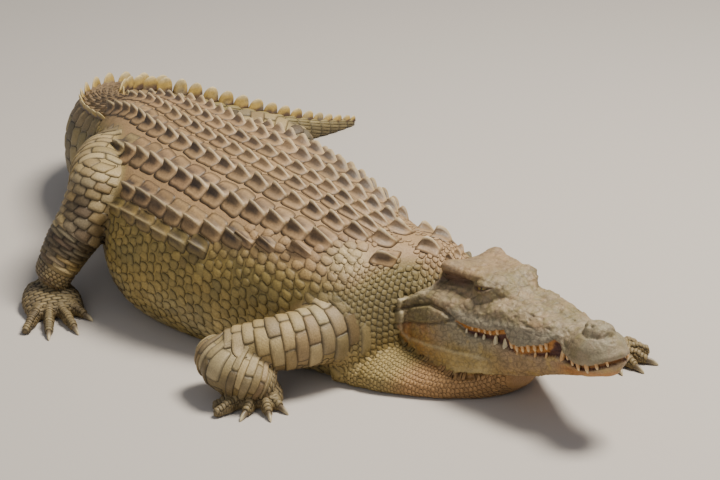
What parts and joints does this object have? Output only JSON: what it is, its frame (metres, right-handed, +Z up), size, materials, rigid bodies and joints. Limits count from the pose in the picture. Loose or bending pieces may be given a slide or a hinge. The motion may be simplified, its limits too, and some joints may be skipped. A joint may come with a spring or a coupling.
{
  "type": "nile crocodile",
  "caption": "Life-size still model of an adult crocodile lying on level ground, head a little raised, limbs spread and tail curved to its left.",
  "frame": {"origin": "middle of the bounding box's underside, on the ground", "axes": "+X forwards along the trunk, +Y to the animal's left, +Z up"},
  "size_m": [2.2601, 1.6599, 0.4149],
  "materials": {
    "head_skin": "dry, pitted hide over bone, grey-tan",
    "pale_skin": "dry scaled hide, ochre and tan",
    "back_skin": "dry keeled scutes, grey-brown with ochre sides",
    "limb_skin": "dry scaled hide, yellow-grey with dark spots",
    "eye": "wet, glossy",
    "claw": "worn horn"
  },
  "bodies": {
    "root": {"head": "head_skin", "lower_jaw": "pale_skin", "eye_left": "eye", "eye_right": "eye", "neck": "pale_skin", "trunk": "back_skin", "tail_1": "back_skin", "tail_2": "back_skin", "tail_3": "back_skin", "tail_4": "back_skin", "tail_5": "back_skin", "throat": "pale_skin", "upper_arm_right": "limb_skin", "forearm_right": "limb_skin", "forefoot_right": "limb_skin", "claw_forefoot_right_1": "claw", "claw_forefoot_right_2": "claw", "claw_forefoot_right_3": "claw", "upper_arm_left": "limb_skin", "forearm_left": "limb_skin", "forefoot_left": "limb_skin", "claw_forefoot_left_1": "claw", "claw_forefoot_left_2": "claw", "claw_forefoot_left_3": "claw", "thigh_right": "limb_skin", "shank_right": "limb_skin", "hindfoot_right": "limb_skin", "claw_hindfoot_right_1": "claw", "claw_hindfoot_right_2": "claw", "claw_hindfoot_right_3": "claw", "thigh_left": "limb_skin", "shank_left": "limb_skin", "hindfoot_left": "limb_skin", "claw_hindfoot_left_1": "claw", "claw_hindfoot_left_2": "claw", "claw_hindfoot_left_3": "claw"}
  },
  "joints": []
}
